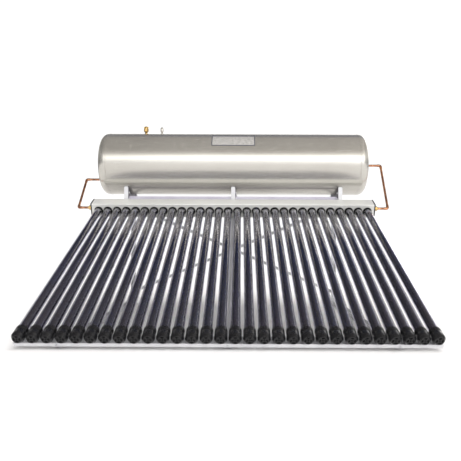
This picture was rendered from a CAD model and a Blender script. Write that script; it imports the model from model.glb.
"""Looks of the evacuated-tube solar water heater: fine pieces, finishes, light and camera.

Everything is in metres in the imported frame: +X along the tank, tubes down towards -Y, +Z up.
Sizes repeat the CAD part's own dimensions; places come from the CAD nodes' boxes.
"""

from math import atan2, cos, pi, radians, sin

import bmesh
import bpy
from mathutils import Matrix, Vector


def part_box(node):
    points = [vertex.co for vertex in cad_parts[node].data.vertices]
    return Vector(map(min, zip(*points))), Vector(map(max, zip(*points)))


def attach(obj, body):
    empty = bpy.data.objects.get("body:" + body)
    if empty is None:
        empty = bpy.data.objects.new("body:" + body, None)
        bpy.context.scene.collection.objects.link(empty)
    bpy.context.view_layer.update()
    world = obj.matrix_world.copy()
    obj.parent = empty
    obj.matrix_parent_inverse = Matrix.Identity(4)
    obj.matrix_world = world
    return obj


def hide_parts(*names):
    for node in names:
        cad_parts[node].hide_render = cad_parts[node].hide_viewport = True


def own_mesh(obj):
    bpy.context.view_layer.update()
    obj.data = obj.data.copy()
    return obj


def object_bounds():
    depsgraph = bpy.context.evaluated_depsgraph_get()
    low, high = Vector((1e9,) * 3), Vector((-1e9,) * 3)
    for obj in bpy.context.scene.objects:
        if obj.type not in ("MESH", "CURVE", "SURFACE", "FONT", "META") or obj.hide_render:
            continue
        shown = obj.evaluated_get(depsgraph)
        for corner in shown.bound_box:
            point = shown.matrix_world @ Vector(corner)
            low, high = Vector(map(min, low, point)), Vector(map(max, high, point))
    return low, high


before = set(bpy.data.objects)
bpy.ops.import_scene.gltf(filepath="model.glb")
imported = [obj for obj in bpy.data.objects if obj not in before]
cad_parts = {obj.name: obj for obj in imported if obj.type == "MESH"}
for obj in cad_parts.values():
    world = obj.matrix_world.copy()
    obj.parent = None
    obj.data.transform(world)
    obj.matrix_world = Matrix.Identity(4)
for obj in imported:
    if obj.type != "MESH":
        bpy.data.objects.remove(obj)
cad_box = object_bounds()
scene = bpy.context.scene

# ---- places ---------------------------------------------------------------------------------
TILT = radians(25.0)
N_TUBES = 30
PITCH = 0.075
TUBE_XS = [(i - (N_TUBES - 1) / 2) * PITCH for i in range(N_TUBES)]
TANK_R = 0.260
TANK_BACK = 0.295         # tank axis behind the manifold's front face line
TANK_UP = 0.418           # and above it

shell_low, shell_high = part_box("tank_shell")
AXIS_Y = (shell_low.y + shell_high.y) / 2
AXIS_Z = (shell_low.z + shell_high.z) / 2
LINE = Vector((0, AXIS_Y - TANK_BACK, AXIS_Z - TANK_UP))

# Local Z runs up the slope in the first of these frames, and along +X in the second.
UP_SLOPE = Matrix((
    (1, 0, 0, 0),
    (0, sin(TILT), cos(TILT), LINE.y),
    (0, -cos(TILT), sin(TILT), LINE.z),
    (0, 0, 0, 1),
))
ALONG_TANK = Matrix((
    (0, 0, 1, 0),
    (1, 0, 0, AXIS_Y),
    (0, 1, 0, AXIS_Z),
    (0, 0, 0, 1),
))


# ---- mesh tools -------------------------------------------------------------------------------
def softened(outline, cut, steps=3):
    """Closed outline with each corner rounded off by up to cut; corners on the axis stay."""
    result = []
    for k, corner in enumerate(outline):
        here = Vector(corner)
        before = Vector(outline[k - 1])
        after = Vector(outline[(k + 1) % len(outline)])
        if here.x < 1e-7:
            result.append(tuple(here))
            continue
        a = here + (before - here) * min(0.45, cut / max((before - here).length, 1e-9))
        b = here + (after - here) * min(0.45, cut / max((after - here).length, 1e-9))
        for i in range(steps + 1):
            t = i / steps
            result.append(tuple(a * (1 - t) ** 2 + here * 2 * t * (1 - t) + b * t * t))
    return result


def turned(outline, segments):
    """Vertices and faces of a closed (radius, along) outline turned about local Z."""
    verts = []
    rings = []
    for radius, along in outline:
        first = len(verts)
        if radius < 1e-7:
            verts.append((0, 0, along))
            rings.append([first] * segments)
            continue
        for k in range(segments):
            turn = 2 * pi * k / segments
            verts.append((radius * cos(turn), radius * sin(turn), along))
        rings.append(list(range(first, first + segments)))
    faces = []
    for a, b in zip(rings, rings[1:] + rings[:1]):
        for k in range(segments):
            j = (k + 1) % segments
            face = list(dict.fromkeys((a[k], a[j], b[j], b[k])))
            if len(face) > 2:
                faces.append(face)
    return verts, faces


def piece(name, parts, material, sharp=32.0):
    """One object from (matrix, verts, faces) parts, shaded smooth with sharp edges kept."""
    verts = []
    faces = []
    for matrix, part_verts, part_faces in parts:
        first = len(verts)
        verts += [matrix @ Vector(v) for v in part_verts]
        faces += [[first + i for i in face] for face in part_faces]
    mesh = bpy.data.meshes.new(name)
    mesh.from_pydata(verts, [], faces)
    work = bmesh.new()
    work.from_mesh(mesh)
    bmesh.ops.recalc_face_normals(work, faces=work.faces)
    work.to_mesh(mesh)
    work.free()
    mesh.shade_smooth()
    mesh.set_sharp_from_angle(angle=radians(sharp))
    mesh.materials.append(material)
    obj = bpy.data.objects.new(name, mesh)
    scene.collection.objects.link(obj)
    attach(obj, "heater")
    return obj


def at_each_tube(outline, segments):
    """The same turned shape on each of the tube centre lines."""
    verts, faces = turned(outline, segments)
    return [(Matrix.Translation((x, 0, 0)) @ UP_SLOPE, verts, faces) for x in TUBE_XS]


def arc(centre, radius, start, end, steps):
    """Points of an arc in an outline's (radius, along) plane, angles in degrees."""
    points = []
    for k in range(steps + 1):
        turn = radians(start + (end - start) * k / steps)
        points.append((centre[0] + radius * cos(turn), centre[1] + radius * sin(turn)))
    return points


# ---- material tools ---------------------------------------------------------------------------
class Nodes:
    """Small helper round one material's node tree."""

    def __init__(self, name):
        self.material = bpy.data.materials.new(name)
        self.material.use_nodes = True
        self.tree = self.material.node_tree
        self.shader = self.tree.nodes["Principled BSDF"]
        self.place = self.add("ShaderNodeTexCoord").outputs["Object"]

    def add(self, kind, **values):
        node = self.tree.nodes.new(kind)
        for key, value in values.items():
            setattr(node, key, value)
        return node

    def link(self, source, target):
        self.tree.links.new(source, target)

    def noise(self, scale, stretch=(1, 1, 1), detail=4.0, rough=0.55):
        """Noise value over object space, stretched by a mapping."""
        mapping = self.add("ShaderNodeMapping")
        mapping.inputs["Scale"].default_value = stretch
        self.link(self.place, mapping.inputs["Vector"])
        noise = self.add("ShaderNodeTexNoise")
        noise.inputs["Scale"].default_value = scale
        noise.inputs["Detail"].default_value = detail
        noise.inputs["Roughness"].default_value = rough
        self.link(mapping.outputs["Vector"], noise.inputs["Vector"])
        return noise.outputs["Fac"]

    def remap(self, value, low, high, to_low=0.0, to_high=1.0):
        """Value between low and high mapped, clamped, to another range."""
        node = self.add("ShaderNodeMapRange")
        node.inputs["From Min"].default_value = low
        node.inputs["From Max"].default_value = high
        node.inputs["To Min"].default_value = to_low
        node.inputs["To Max"].default_value = to_high
        self.link(value, node.inputs["Value"])
        return node.outputs["Result"]

    def math(self, operation, a, b):
        node = self.add("ShaderNodeMath", operation=operation)
        for socket, value in zip(node.inputs, (a, b)):
            if isinstance(value, (int, float)):
                socket.default_value = value
            else:
                self.link(value, socket)
        return node.outputs[0]

    def mix(self, factor, a, b):
        """Colour between a and b; each is an RGB tuple or a colour socket."""
        node = self.add("ShaderNodeMix", data_type="RGBA")
        self.link(factor, node.inputs["Factor"])
        for socket, value in ((node.inputs[6], a), (node.inputs[7], b)):
            if isinstance(value, tuple):
                socket.default_value = (*value, 1)
            else:
                self.link(value, socket)
        return node.outputs[2]

    def bump(self, height, strength, distance):
        """Adds a bump under whatever bump is already there."""
        node = self.add("ShaderNodeBump")
        node.inputs["Strength"].default_value = strength
        node.inputs["Distance"].default_value = distance
        self.link(height, node.inputs["Height"])
        target = self.shader.inputs["Normal"]
        if target.is_linked:
            self.link(target.links[0].from_socket, node.inputs["Normal"])
        self.link(node.outputs["Normal"], target)

    def set(self, **values):
        """Constant values by socket name, with underscores for spaces."""
        for key, value in values.items():
            self.shader.inputs[key.replace("_", " ")].default_value = value


def surface(name, dark, light, rough, scale, stretch=(1, 1, 1), blotch=3.0, bump=0.1,
            depth=0.001, **values):
    """Principled finish with grain, broad colour drift, uneven gloss and fine relief."""
    n = Nodes(name)
    grain = n.noise(scale, stretch, 6.0, 0.6)
    drift = n.noise(blotch, (1, 1, 1), 3.0, 0.5)
    share = n.math("ADD", n.math("MULTIPLY", grain, 0.4), n.math("MULTIPLY", drift, 0.6))
    n.link(n.mix(n.remap(share, 0.35, 0.65), dark, light), n.shader.inputs["Base Color"])
    n.link(n.remap(grain, 0.3, 0.7, rough[0], rough[1]), n.shader.inputs["Roughness"])
    n.bump(grain, bump, depth)
    n.set(**values)
    return n


# ---- materials --------------------------------------------------------------------------------
def stainless(name):
    """Satin rolled stainless sheet: fine grain along the tank and slow waves."""
    n = surface(name, (0.53, 0.512, 0.470), (0.60, 0.583, 0.540), (0.20, 0.28), 60.0,
                (0.25, 6, 6), 1.7, 0.035, 0.0006, Metallic=0.80)
    n.bump(n.noise(1.5, (0.7, 1.6, 1.6), 1.0), 0.28, 0.012)
    n.bump(n.noise(9.0, (0.4, 1.2, 1.2), 1.0), 0.03, 0.002)
    return n.material


tank_steel = stainless("tank_stainless")
vessel_steel = surface("vessel_enamel", (0.10, 0.16, 0.22), (0.14, 0.22, 0.30), (0.3, 0.5),
                       60.0, Metallic=0.1).material
foam = surface("insulation_foam", (0.75, 0.66, 0.40), (0.86, 0.78, 0.52), (0.8, 0.95), 150.0,
               bump=0.5).material
mineral_wool = surface("mineral_wool", (0.50, 0.42, 0.26), (0.64, 0.56, 0.38), (0.9, 1.0),
                       220.0, (1, 4, 4), bump=0.8, depth=0.003).material
casing_metal = surface("manifold_aluminium", (0.58, 0.58, 0.56), (0.68, 0.68, 0.66), (0.30, 0.42),
                       90.0, (0.3, 3, 3), 1.2, 0.05, 0.0005, Metallic=0.30).material
frame_steel = surface("frame_coated_steel", (0.54, 0.54, 0.56), (0.68, 0.68, 0.70), (0.38, 0.52),
                      160.0, blotch=5.0, bump=0.08, depth=0.0004, Metallic=0.15).material
shaded_steel = surface("saddle_dark_steel", (0.09, 0.08, 0.10), (0.16, 0.15, 0.18), (0.42, 0.58),
                       160.0, blotch=6.0, bump=0.08, depth=0.0004, Metallic=0.4).material
tie_steel = surface("tie_galvanised_steel", (0.38, 0.36, 0.43), (0.50, 0.48, 0.55), (0.35, 0.5),
                    120.0, blotch=7.0, bump=0.08, depth=0.0004, Metallic=0.3).material
black_rubber = surface("black_rubber", (0.003, 0.003, 0.004), (0.009, 0.009, 0.010), (0.5, 0.7),
                       260.0, blotch=12.0, bump=0.15, depth=0.0003,
                       Specular_IOR_Level=0.25).material
black_plastic = surface("moulded_black_plastic", (0.004, 0.004, 0.005), (0.010, 0.010, 0.011),
                        (0.20, 0.32), 240.0, blotch=9.0, bump=0.10, depth=0.0002,
                        Specular_IOR_Level=0.28, Coat_Weight=0.25, Coat_Roughness=0.10).material
brass = surface("machined_brass", (0.40, 0.26, 0.09), (0.68, 0.47, 0.20), (0.26, 0.44), 120.0,
                blotch=22.0, bump=0.06, depth=0.0003, Metallic=1.0).material
port_steel = surface("port_steel", (0.50, 0.47, 0.43), (0.66, 0.64, 0.60), (0.28, 0.42), 90.0,
                     Metallic=1.0).material
float_plastic = surface("float_plastic", (0.78, 0.78, 0.76), (0.88, 0.88, 0.86), (0.35, 0.5),
                        90.0).material
magnesium = surface("magnesium", (0.50, 0.51, 0.52), (0.62, 0.63, 0.64), (0.4, 0.6), 80.0,
                    Metallic=1.0).material
zinc = surface("zinc_plating", (0.55, 0.56, 0.58), (0.74, 0.75, 0.77), (0.24, 0.42), 200.0,
               blotch=60.0, bump=0.05, depth=0.0002, Metallic=1.0).material
fin_aluminium = surface("fin_aluminium", (0.66, 0.67, 0.69), (0.80, 0.81, 0.83), (0.3, 0.45), 120.0,
                        Metallic=1.0).material
spring_steel = surface("spring_steel", (0.45, 0.45, 0.47), (0.60, 0.60, 0.62), (0.22, 0.4), 300.0,
                       Metallic=1.0).material


def copper_finish():
    """Drawn copper pipe: bright orange metal under uneven brown oxide."""
    n = Nodes("drawn_copper")
    patches = n.remap(n.noise(26.0, (1, 1, 1), 5.0, 0.65), 0.42, 0.62)
    spots = n.remap(n.noise(120.0, (1, 1, 1), 3.0), 0.50, 0.66)
    metal = n.mix(patches, (0.22, 0.085, 0.050), (0.70, 0.33, 0.16))
    bright = n.mix(n.math("MULTIPLY", spots, 0.5), metal, (0.88, 0.58, 0.40))
    n.link(bright, n.shader.inputs["Base Color"])
    n.link(n.remap(patches, 0.0, 1.0, 0.46, 0.26), n.shader.inputs["Roughness"])
    n.bump(n.noise(300.0), 0.08, 0.0003)
    n.set(Metallic=0.92)
    return n.material


copper = copper_finish()


def glass_finish():
    """Clear borosilicate under a faint, patchy film of dust."""
    n = Nodes("borosilicate_glass")
    dust = n.remap(n.noise(38.0, (1, 0.5, 0.5), 6.0, 0.65), 0.45, 0.75)
    n.link(n.mix(dust, (0.84, 0.83, 0.89), (0.80, 0.79, 0.83)), n.shader.inputs["Base Color"])
    n.link(n.remap(dust, 0.0, 1.0, 0.0, 0.05), n.shader.inputs["Roughness"])
    n.set(Transmission_Weight=1.0, IOR=1.47)
    return n.material


def absorber_finish():
    """Selective sputtered coating: near-black with blue and violet-brown drift under gloss."""
    n = Nodes("selective_absorber")
    drift = n.remap(n.noise(2.4, (3, 1, 1), 3.0), 0.38, 0.62)
    streak = n.remap(n.noise(30.0, (4, 0.25, 0.25), 4.0), 0.40, 0.70)
    tone = n.mix(drift, (0.004, 0.008, 0.024), (0.016, 0.010, 0.018))
    coating = n.mix(n.math("MULTIPLY", streak, 0.12), tone, (0.02, 0.03, 0.05))
    n.link(coating, n.shader.inputs["Base Color"])
    n.link(n.remap(streak, 0.0, 1.0, 0.10, 0.16), n.shader.inputs["Roughness"])
    n.set(Coat_Weight=1.0, Coat_Roughness=0.0, Coat_IOR=1.6, Coat_Tint=(0.80, 0.84, 1.0, 1.0),
          Specular_IOR_Level=0.3)
    return n.material


tube_glass = glass_finish()
absorber_coat = absorber_finish()


def blank_plate_finish():
    """Plain enamelled plate: a pale field inside a thin dark border, no lettering."""
    n = Nodes("blank_plate")
    low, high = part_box("tank_label")
    split = n.add("ShaderNodeSeparateXYZ")
    n.link(n.place, split.inputs["Vector"])
    edge_x = n.math("SUBTRACT", (high.x - low.x) / 2, n.math("ABSOLUTE", split.outputs["X"], 0.0))
    rise = n.math("ABSOLUTE", n.math("SUBTRACT", split.outputs["Z"], (low.z + high.z) / 2), 0.0)
    edge_z = n.math("SUBTRACT", (high.z - low.z) / 2, rise)
    border = n.remap(n.math("MINIMUM", edge_x, edge_z), 0.006, 0.007)
    grain = n.noise(140.0, (0.3, 4, 4), 4.0)
    field = n.mix(grain, (0.56, 0.55, 0.53), (0.66, 0.65, 0.63))
    n.link(n.mix(border, (0.10, 0.11, 0.14), field), n.shader.inputs["Base Color"])
    n.link(n.remap(grain, 0.3, 0.7, 0.22, 0.34), n.shader.inputs["Roughness"])
    n.bump(grain, 0.04, 0.0003)
    n.set(Metallic=0.6)
    return n.material


blank_plate = blank_plate_finish()

SLOT_FINISH = {
    "tank_steel": tank_steel,
    "vessel_steel": vessel_steel,
    "foam": foam,
    "mineral_wool": mineral_wool,
    "casing_metal": casing_metal,
    "frame_steel": frame_steel,
    "tube_glass": tube_glass,
    "absorber_coating": absorber_coat,
    "spring_steel": spring_steel,
    "copper": copper,
    "fin_aluminium": fin_aluminium,
    "black_rubber": black_rubber,
    "black_plastic": black_plastic,
    "brass": brass,
    "port_steel": port_steel,
    "float_plastic": float_plastic,
    "magnesium": magnesium,
    "zinc_fasteners": zinc,
    "blank_label": blank_plate,
}
NODE_FINISH = {f"tank_saddle_{side}": shaded_steel for side in ("left", "centre", "right")}
NODE_FINISH.update({f"cross_member_{side}": tie_steel for side in ("left", "right")})
for node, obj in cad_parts.items():
    for slot in obj.material_slots:
        name = slot.material.name.split(".")[0]
        slot.material = NODE_FINISH.get(node, SLOT_FINISH[name])

# ---- tank -------------------------------------------------------------------------------------
SHELL_HALF = (shell_high.x - shell_low.x) / 2
SHELL_T = 0.0015
shell_outline = [
    (TANK_R, -SHELL_HALF), (TANK_R, SHELL_HALF),
    (TANK_R - SHELL_T, SHELL_HALF), (TANK_R - SHELL_T, -SHELL_HALF),
]
ROUND_STEPS = 192         # straight sides round the tank's circle
tank_shell = piece("rolled_tank_shell", [(ALONG_TANK, *turned(shell_outline, ROUND_STEPS))],
                   tank_steel)
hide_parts("tank_shell")


def end_cap(side, sign):
    """Dished cap with its rolled bead, outside and inside faces."""
    corner, dome = 0.060, 0.015
    start = SHELL_HALF + 0.0002
    flat = TANK_R - corner
    straight = SHELL_HALF + 0.015
    outside = [(TANK_R - 0.001, start), (TANK_R + 0.0008, start), (TANK_R + 0.0016, start + 0.001),
               (TANK_R + 0.0016, start + 0.0058), (TANK_R + 0.0008, start + 0.0068),
               (TANK_R, start + 0.0072)]
    outside += arc((flat, straight), corner, 0, 90, 18)
    crown = straight + corner
    for t in (0.15, 0.3, 0.45, 0.6, 0.75, 0.9, 1.0):
        outside.append((flat * (1 - t), crown + dome * (1 - (1 - t) ** 2)))
    inside = [(0, crown + dome - SHELL_T), (flat, crown - SHELL_T)]
    inside += [(TANK_R - SHELL_T, straight), (TANK_R - SHELL_T, start)]
    flip = Matrix.Diagonal((1, 1, sign, 1))
    verts, faces = turned(outside + inside, ROUND_STEPS)
    cap = piece(f"dished_end_{side}", [(ALONG_TANK @ flip, verts, faces)],
                tank_steel)
    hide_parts(f"tank_end_cap_{side}")


for side, sign in (("left", -1), ("right", 1)):
    end_cap(side, sign)

# ---- evacuated tubes ----------------------------------------------------------------------------
GLASS_R = 0.029
GLASS_T = 0.0018
ABSORBER_R = 0.0235
ABSORBER_T = 0.0016
MOUTH_S = 0.045
GLASS_END_S = -1.745
ABSORBER_END_S = -1.725


def tube_outline(radius, wall, top, end, steps):
    """Closed outline of a round-ended tube with a wall."""
    inner = radius - wall
    outside = [(radius, top)] + arc((0, end + radius), radius, 0, -90, steps)
    outside[-1] = (0, end)
    inside = arc((0, end + radius), inner, -90, 0, steps) + [(inner, top)]
    inside[0] = (0, end + wall)
    return outside + inside


glass_outline = tube_outline(GLASS_R, GLASS_T, MOUTH_S, GLASS_END_S, 8)
glass_tubes = piece("evacuated_tubes", at_each_tube(glass_outline, 40), tube_glass)
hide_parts("outer_glass_tubes")
absorber_outline = tube_outline(ABSORBER_R, ABSORBER_T, MOUTH_S, ABSORBER_END_S, 6)
absorbers = piece("coated_inner_tubes", at_each_tube(absorber_outline, 36),
                  absorber_coat)
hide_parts("absorber_tubes")

ring_outline = softened([
    (0.0291, -0.008), (0.0306, -0.010), (0.0340, -0.009), (0.0355, -0.007), (0.0355, 0.0),
    (0.0314, 0.0), (0.0314, 0.0016), (0.0340, 0.0016), (0.0340, 0.005), (0.0291, 0.005),
], 0.0012, 2)
rings = piece("dust_ring_set", at_each_tube(ring_outline, 48), black_rubber)
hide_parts("dust_rings")

cup_outline = softened([
    (0.0293, -1.680), (0.0330, -1.680), (0.0340, -1.682), (0.0340, -1.7126), (0.0324, -1.7126),
    (0.0324, -1.7154), (0.0340, -1.7154), (0.0340, -1.738), (0.0346, -1.739), (0.0346, -1.745),
    (0.0305, -1.745), (0.0305, -1.724), (0.0293, -1.722),
], 0.0006, 2)
cups = piece("tube_cup_set", at_each_tube(cup_outline, 48), black_plastic)
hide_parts("tube_cups")


# ---- relief valve spring ------------------------------------------------------------------------
def coil(radius, wire, pitch, height, around=10, per_turn=28):
    """Vertices and faces of round wire wound up local Z, with closed ends."""
    turns = height / pitch
    steps = round(turns * per_turn)
    climb = atan2(pitch, 2 * pi * radius)
    verts = []
    for i in range(steps + 1):
        turn = 2 * pi * turns * i / steps
        out = Vector((cos(turn), sin(turn), 0))
        side = Vector((sin(turn) * sin(climb), -cos(turn) * sin(climb), cos(climb)))
        centre = out * radius + Vector((0, 0, height * i / steps))
        for k in range(around):
            spot = 2 * pi * k / around
            verts.append(centre + (out * cos(spot) + side * sin(spot)) * wire)
    faces = [tuple(range(around)), tuple(range(steps * around, (steps + 1) * around))]
    for i in range(steps):
        for k in range(around):
            a, b = i * around + k, i * around + (k + 1) % around
            faces.append((a, b, b + around, a + around))
    return verts, faces


SPRING_R = 0.0070
SPRING_WIRE = 0.0008
SPRING_PITCH = 0.0038
SPRING_RISE = 0.0156
spring_low, spring_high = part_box("relief_valve_spring")
spring_foot = Vector(((spring_low.x + spring_high.x) / 2, AXIS_Y, spring_low.z + SPRING_WIRE))
winding = coil(SPRING_R, SPRING_WIRE, SPRING_PITCH, SPRING_RISE)
spring = piece("wound_relief_spring", [(Matrix.Translation(spring_foot), *winding)],
               spring_steel)
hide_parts("relief_valve_spring")
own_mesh(spring)

# ---- floor ------------------------------------------------------------------------------------
def floor_finish():
    """Pale smooth concrete with a faint trace of dust."""
    n = Nodes("pale_floor")
    dust = n.noise(1.3, (1, 1, 1), 6.0, 0.6)
    tone = n.mix(n.remap(dust, 0.4, 0.65), (0.90, 0.895, 0.90), (0.88, 0.87, 0.865))
    n.link(tone, n.shader.inputs["Base Color"])
    n.link(n.remap(dust, 0.3, 0.7, 0.7, 0.9), n.shader.inputs["Roughness"])
    n.bump(n.noise(60.0), 0.05, 0.0005)
    return n.material


floor_mesh = bpy.data.meshes.new("floor")
work = bmesh.new()
bmesh.ops.create_grid(work, x_segments=8, y_segments=8, size=40.0)
work.to_mesh(floor_mesh)
work.free()
floor_mesh.materials.append(floor_finish())
floor = bpy.data.objects.new("floor", floor_mesh)
floor.location = (0, 0, cad_box[0].z - 0.0005)
scene.collection.objects.link(floor)


# ---- light --------------------------------------------------------------------------------------
class WorldNodes:
    """Small helper round the world's node tree."""

    def __init__(self, name):
        self.world = bpy.data.worlds.new(name)
        self.world.use_nodes = True
        self.tree = self.world.node_tree
        self.tree.nodes.clear()

    def add(self, kind):
        return self.tree.nodes.new(kind)

    def link(self, source, target):
        self.tree.links.new(source, target)

    def spread(self, value, low, high, to_low=0.0, to_high=1.0):
        """Value between low and high mapped, clamped, to another range."""
        node = self.add("ShaderNodeMapRange")
        for key, number in (("From Min", low), ("From Max", high), ("To Min", to_low), ("To Max", to_high)):
            node.inputs[key].default_value = number
        self.link(value, node.inputs["Value"])
        return node.outputs["Result"]

    def ramp(self, value, stops):
        """Eased colour ramp through (position, colour) stops."""
        node = self.add("ShaderNodeValToRGB")
        node.color_ramp.interpolation = "EASE"
        elements = node.color_ramp.elements
        for k, (position, colour) in enumerate(stops):
            element = elements[k] if k < 2 else elements.new(position)
            element.position = position
            element.color = (*colour, 1)
        self.link(value, node.inputs["Fac"])
        return node.outputs["Color"]

    def times(self, a, b):
        node = self.add("ShaderNodeMath")
        node.operation = "MULTIPLY"
        for socket, value in zip(node.inputs, (a, b)):
            if isinstance(value, float):
                socket.default_value = value
            else:
                self.link(value, socket)
        return node.outputs[0]


def studio_world():
    """White backdrop for the camera; a soft banded dome, brighter on the right, for the rest."""
    w = WorldNodes("studio")
    split = w.add("ShaderNodeSeparateXYZ")
    w.link(w.add("ShaderNodeTexCoord").outputs["Generated"], split.inputs["Vector"])
    across, ahead, up = (split.outputs[axis] for axis in "XYZ")

    bands = w.ramp(w.spread(up, -1.0, 1.0), [
        (0.00, (0.33, 0.325, 0.34)), (0.50, (0.42, 0.42, 0.44)), (0.56, (0.44, 0.44, 0.44)),
        (0.61, (1.0, 0.995, 0.98)), (0.68, (0.98, 0.97, 0.95)), (0.76, (0.42, 0.405, 0.38)),
        (0.86, (0.165, 0.150, 0.136)), (1.0, (0.155, 0.143, 0.134)),
    ])
    sides = ((0.0, 0.10), (0.12, 0.13), (0.24, 0.30), (0.5, 0.52), (0.76, 0.95), (0.88, 0.35), (1.0, 0.2))
    side_level = w.ramp(w.spread(across, -1.0, 1.0), [(place, (level,) * 3) for place, level in sides])
    dome_level = 3.4
    window_level = 2.1        # a brighter low window straight ahead
    level = w.times(w.times(side_level, dome_level), w.spread(ahead, -0.85, -0.95, 1.0, window_level))

    # A dim bluish sky high behind.
    behind = w.times(w.spread(ahead, 0.35, 0.62), w.spread(up, 0.42, 0.66))
    sky = w.add("ShaderNodeMix")
    sky.data_type = "RGBA"
    w.link(behind, sky.inputs["Factor"])
    w.link(bands, sky.inputs[6])
    sky.inputs[7].default_value = (0.030, 0.036, 0.064, 1)

    dome = w.add("ShaderNodeBackground")
    w.link(sky.outputs[2], dome.inputs["Color"])
    w.link(level, dome.inputs["Strength"])
    white = w.add("ShaderNodeBackground")
    white.inputs["Color"].default_value = (1, 1, 1, 1)
    white.inputs["Strength"].default_value = 1.1
    mix = w.add("ShaderNodeMixShader")
    w.link(w.add("ShaderNodeLightPath").outputs["Is Camera Ray"], mix.inputs["Fac"])
    w.link(dome.outputs["Background"], mix.inputs[1])
    w.link(white.outputs["Background"], mix.inputs[2])
    w.link(mix.outputs["Shader"], w.add("ShaderNodeOutputWorld").inputs["Surface"])
    scene.world = w.world


def soft_sun(name, toward, strength, spread):
    """Broad sun that lights matt surfaces only; toward points from the scene to the light."""
    light = bpy.data.lights.new(name, "SUN")
    light.energy = strength
    light.angle = radians(spread)
    obj = bpy.data.objects.new(name, light)
    obj.rotation_euler = (-Vector(toward)).to_track_quat("-Z", "Y").to_euler()
    obj.visible_glossy = False
    scene.collection.objects.link(obj)


studio_world()
soft_sun("overhead", (0.25, -0.5, 1.6), 2.5, 60)
soft_sun("front_fill", (0.45, -1.0, 0.16), 1.2, 35)

# ---- camera -------------------------------------------------------------------------------------
SENSOR_MM = 36.0
LENS_MM = 42.41
SHIFT_X = -0.01692
STAND = Vector((0.063, -4.398, -0.225))    # camera from the manifold's front line
PITCH_UP = radians(0.88)
YAW = radians(-0.24)
ROLL = radians(0.22)
forward = Vector((sin(YAW) * cos(PITCH_UP), cos(YAW) * cos(PITCH_UP), sin(PITCH_UP)))
level = Vector((cos(YAW), -sin(YAW), 0))
above = level.cross(forward)
right = level * cos(ROLL) + above * sin(ROLL)
top = above * cos(ROLL) - level * sin(ROLL)
lens = bpy.data.cameras.new("photo_camera")
lens.sensor_width = SENSOR_MM
lens.lens = LENS_MM
lens.shift_x = SHIFT_X
camera = bpy.data.objects.new("photo_camera", lens)
turn = Matrix((right, top, -forward)).transposed()
camera.matrix_world = Matrix.Translation(LINE + STAND) @ turn.to_4x4()
scene.collection.objects.link(camera)
scene.camera = camera
scene.view_settings.view_transform = "Standard"
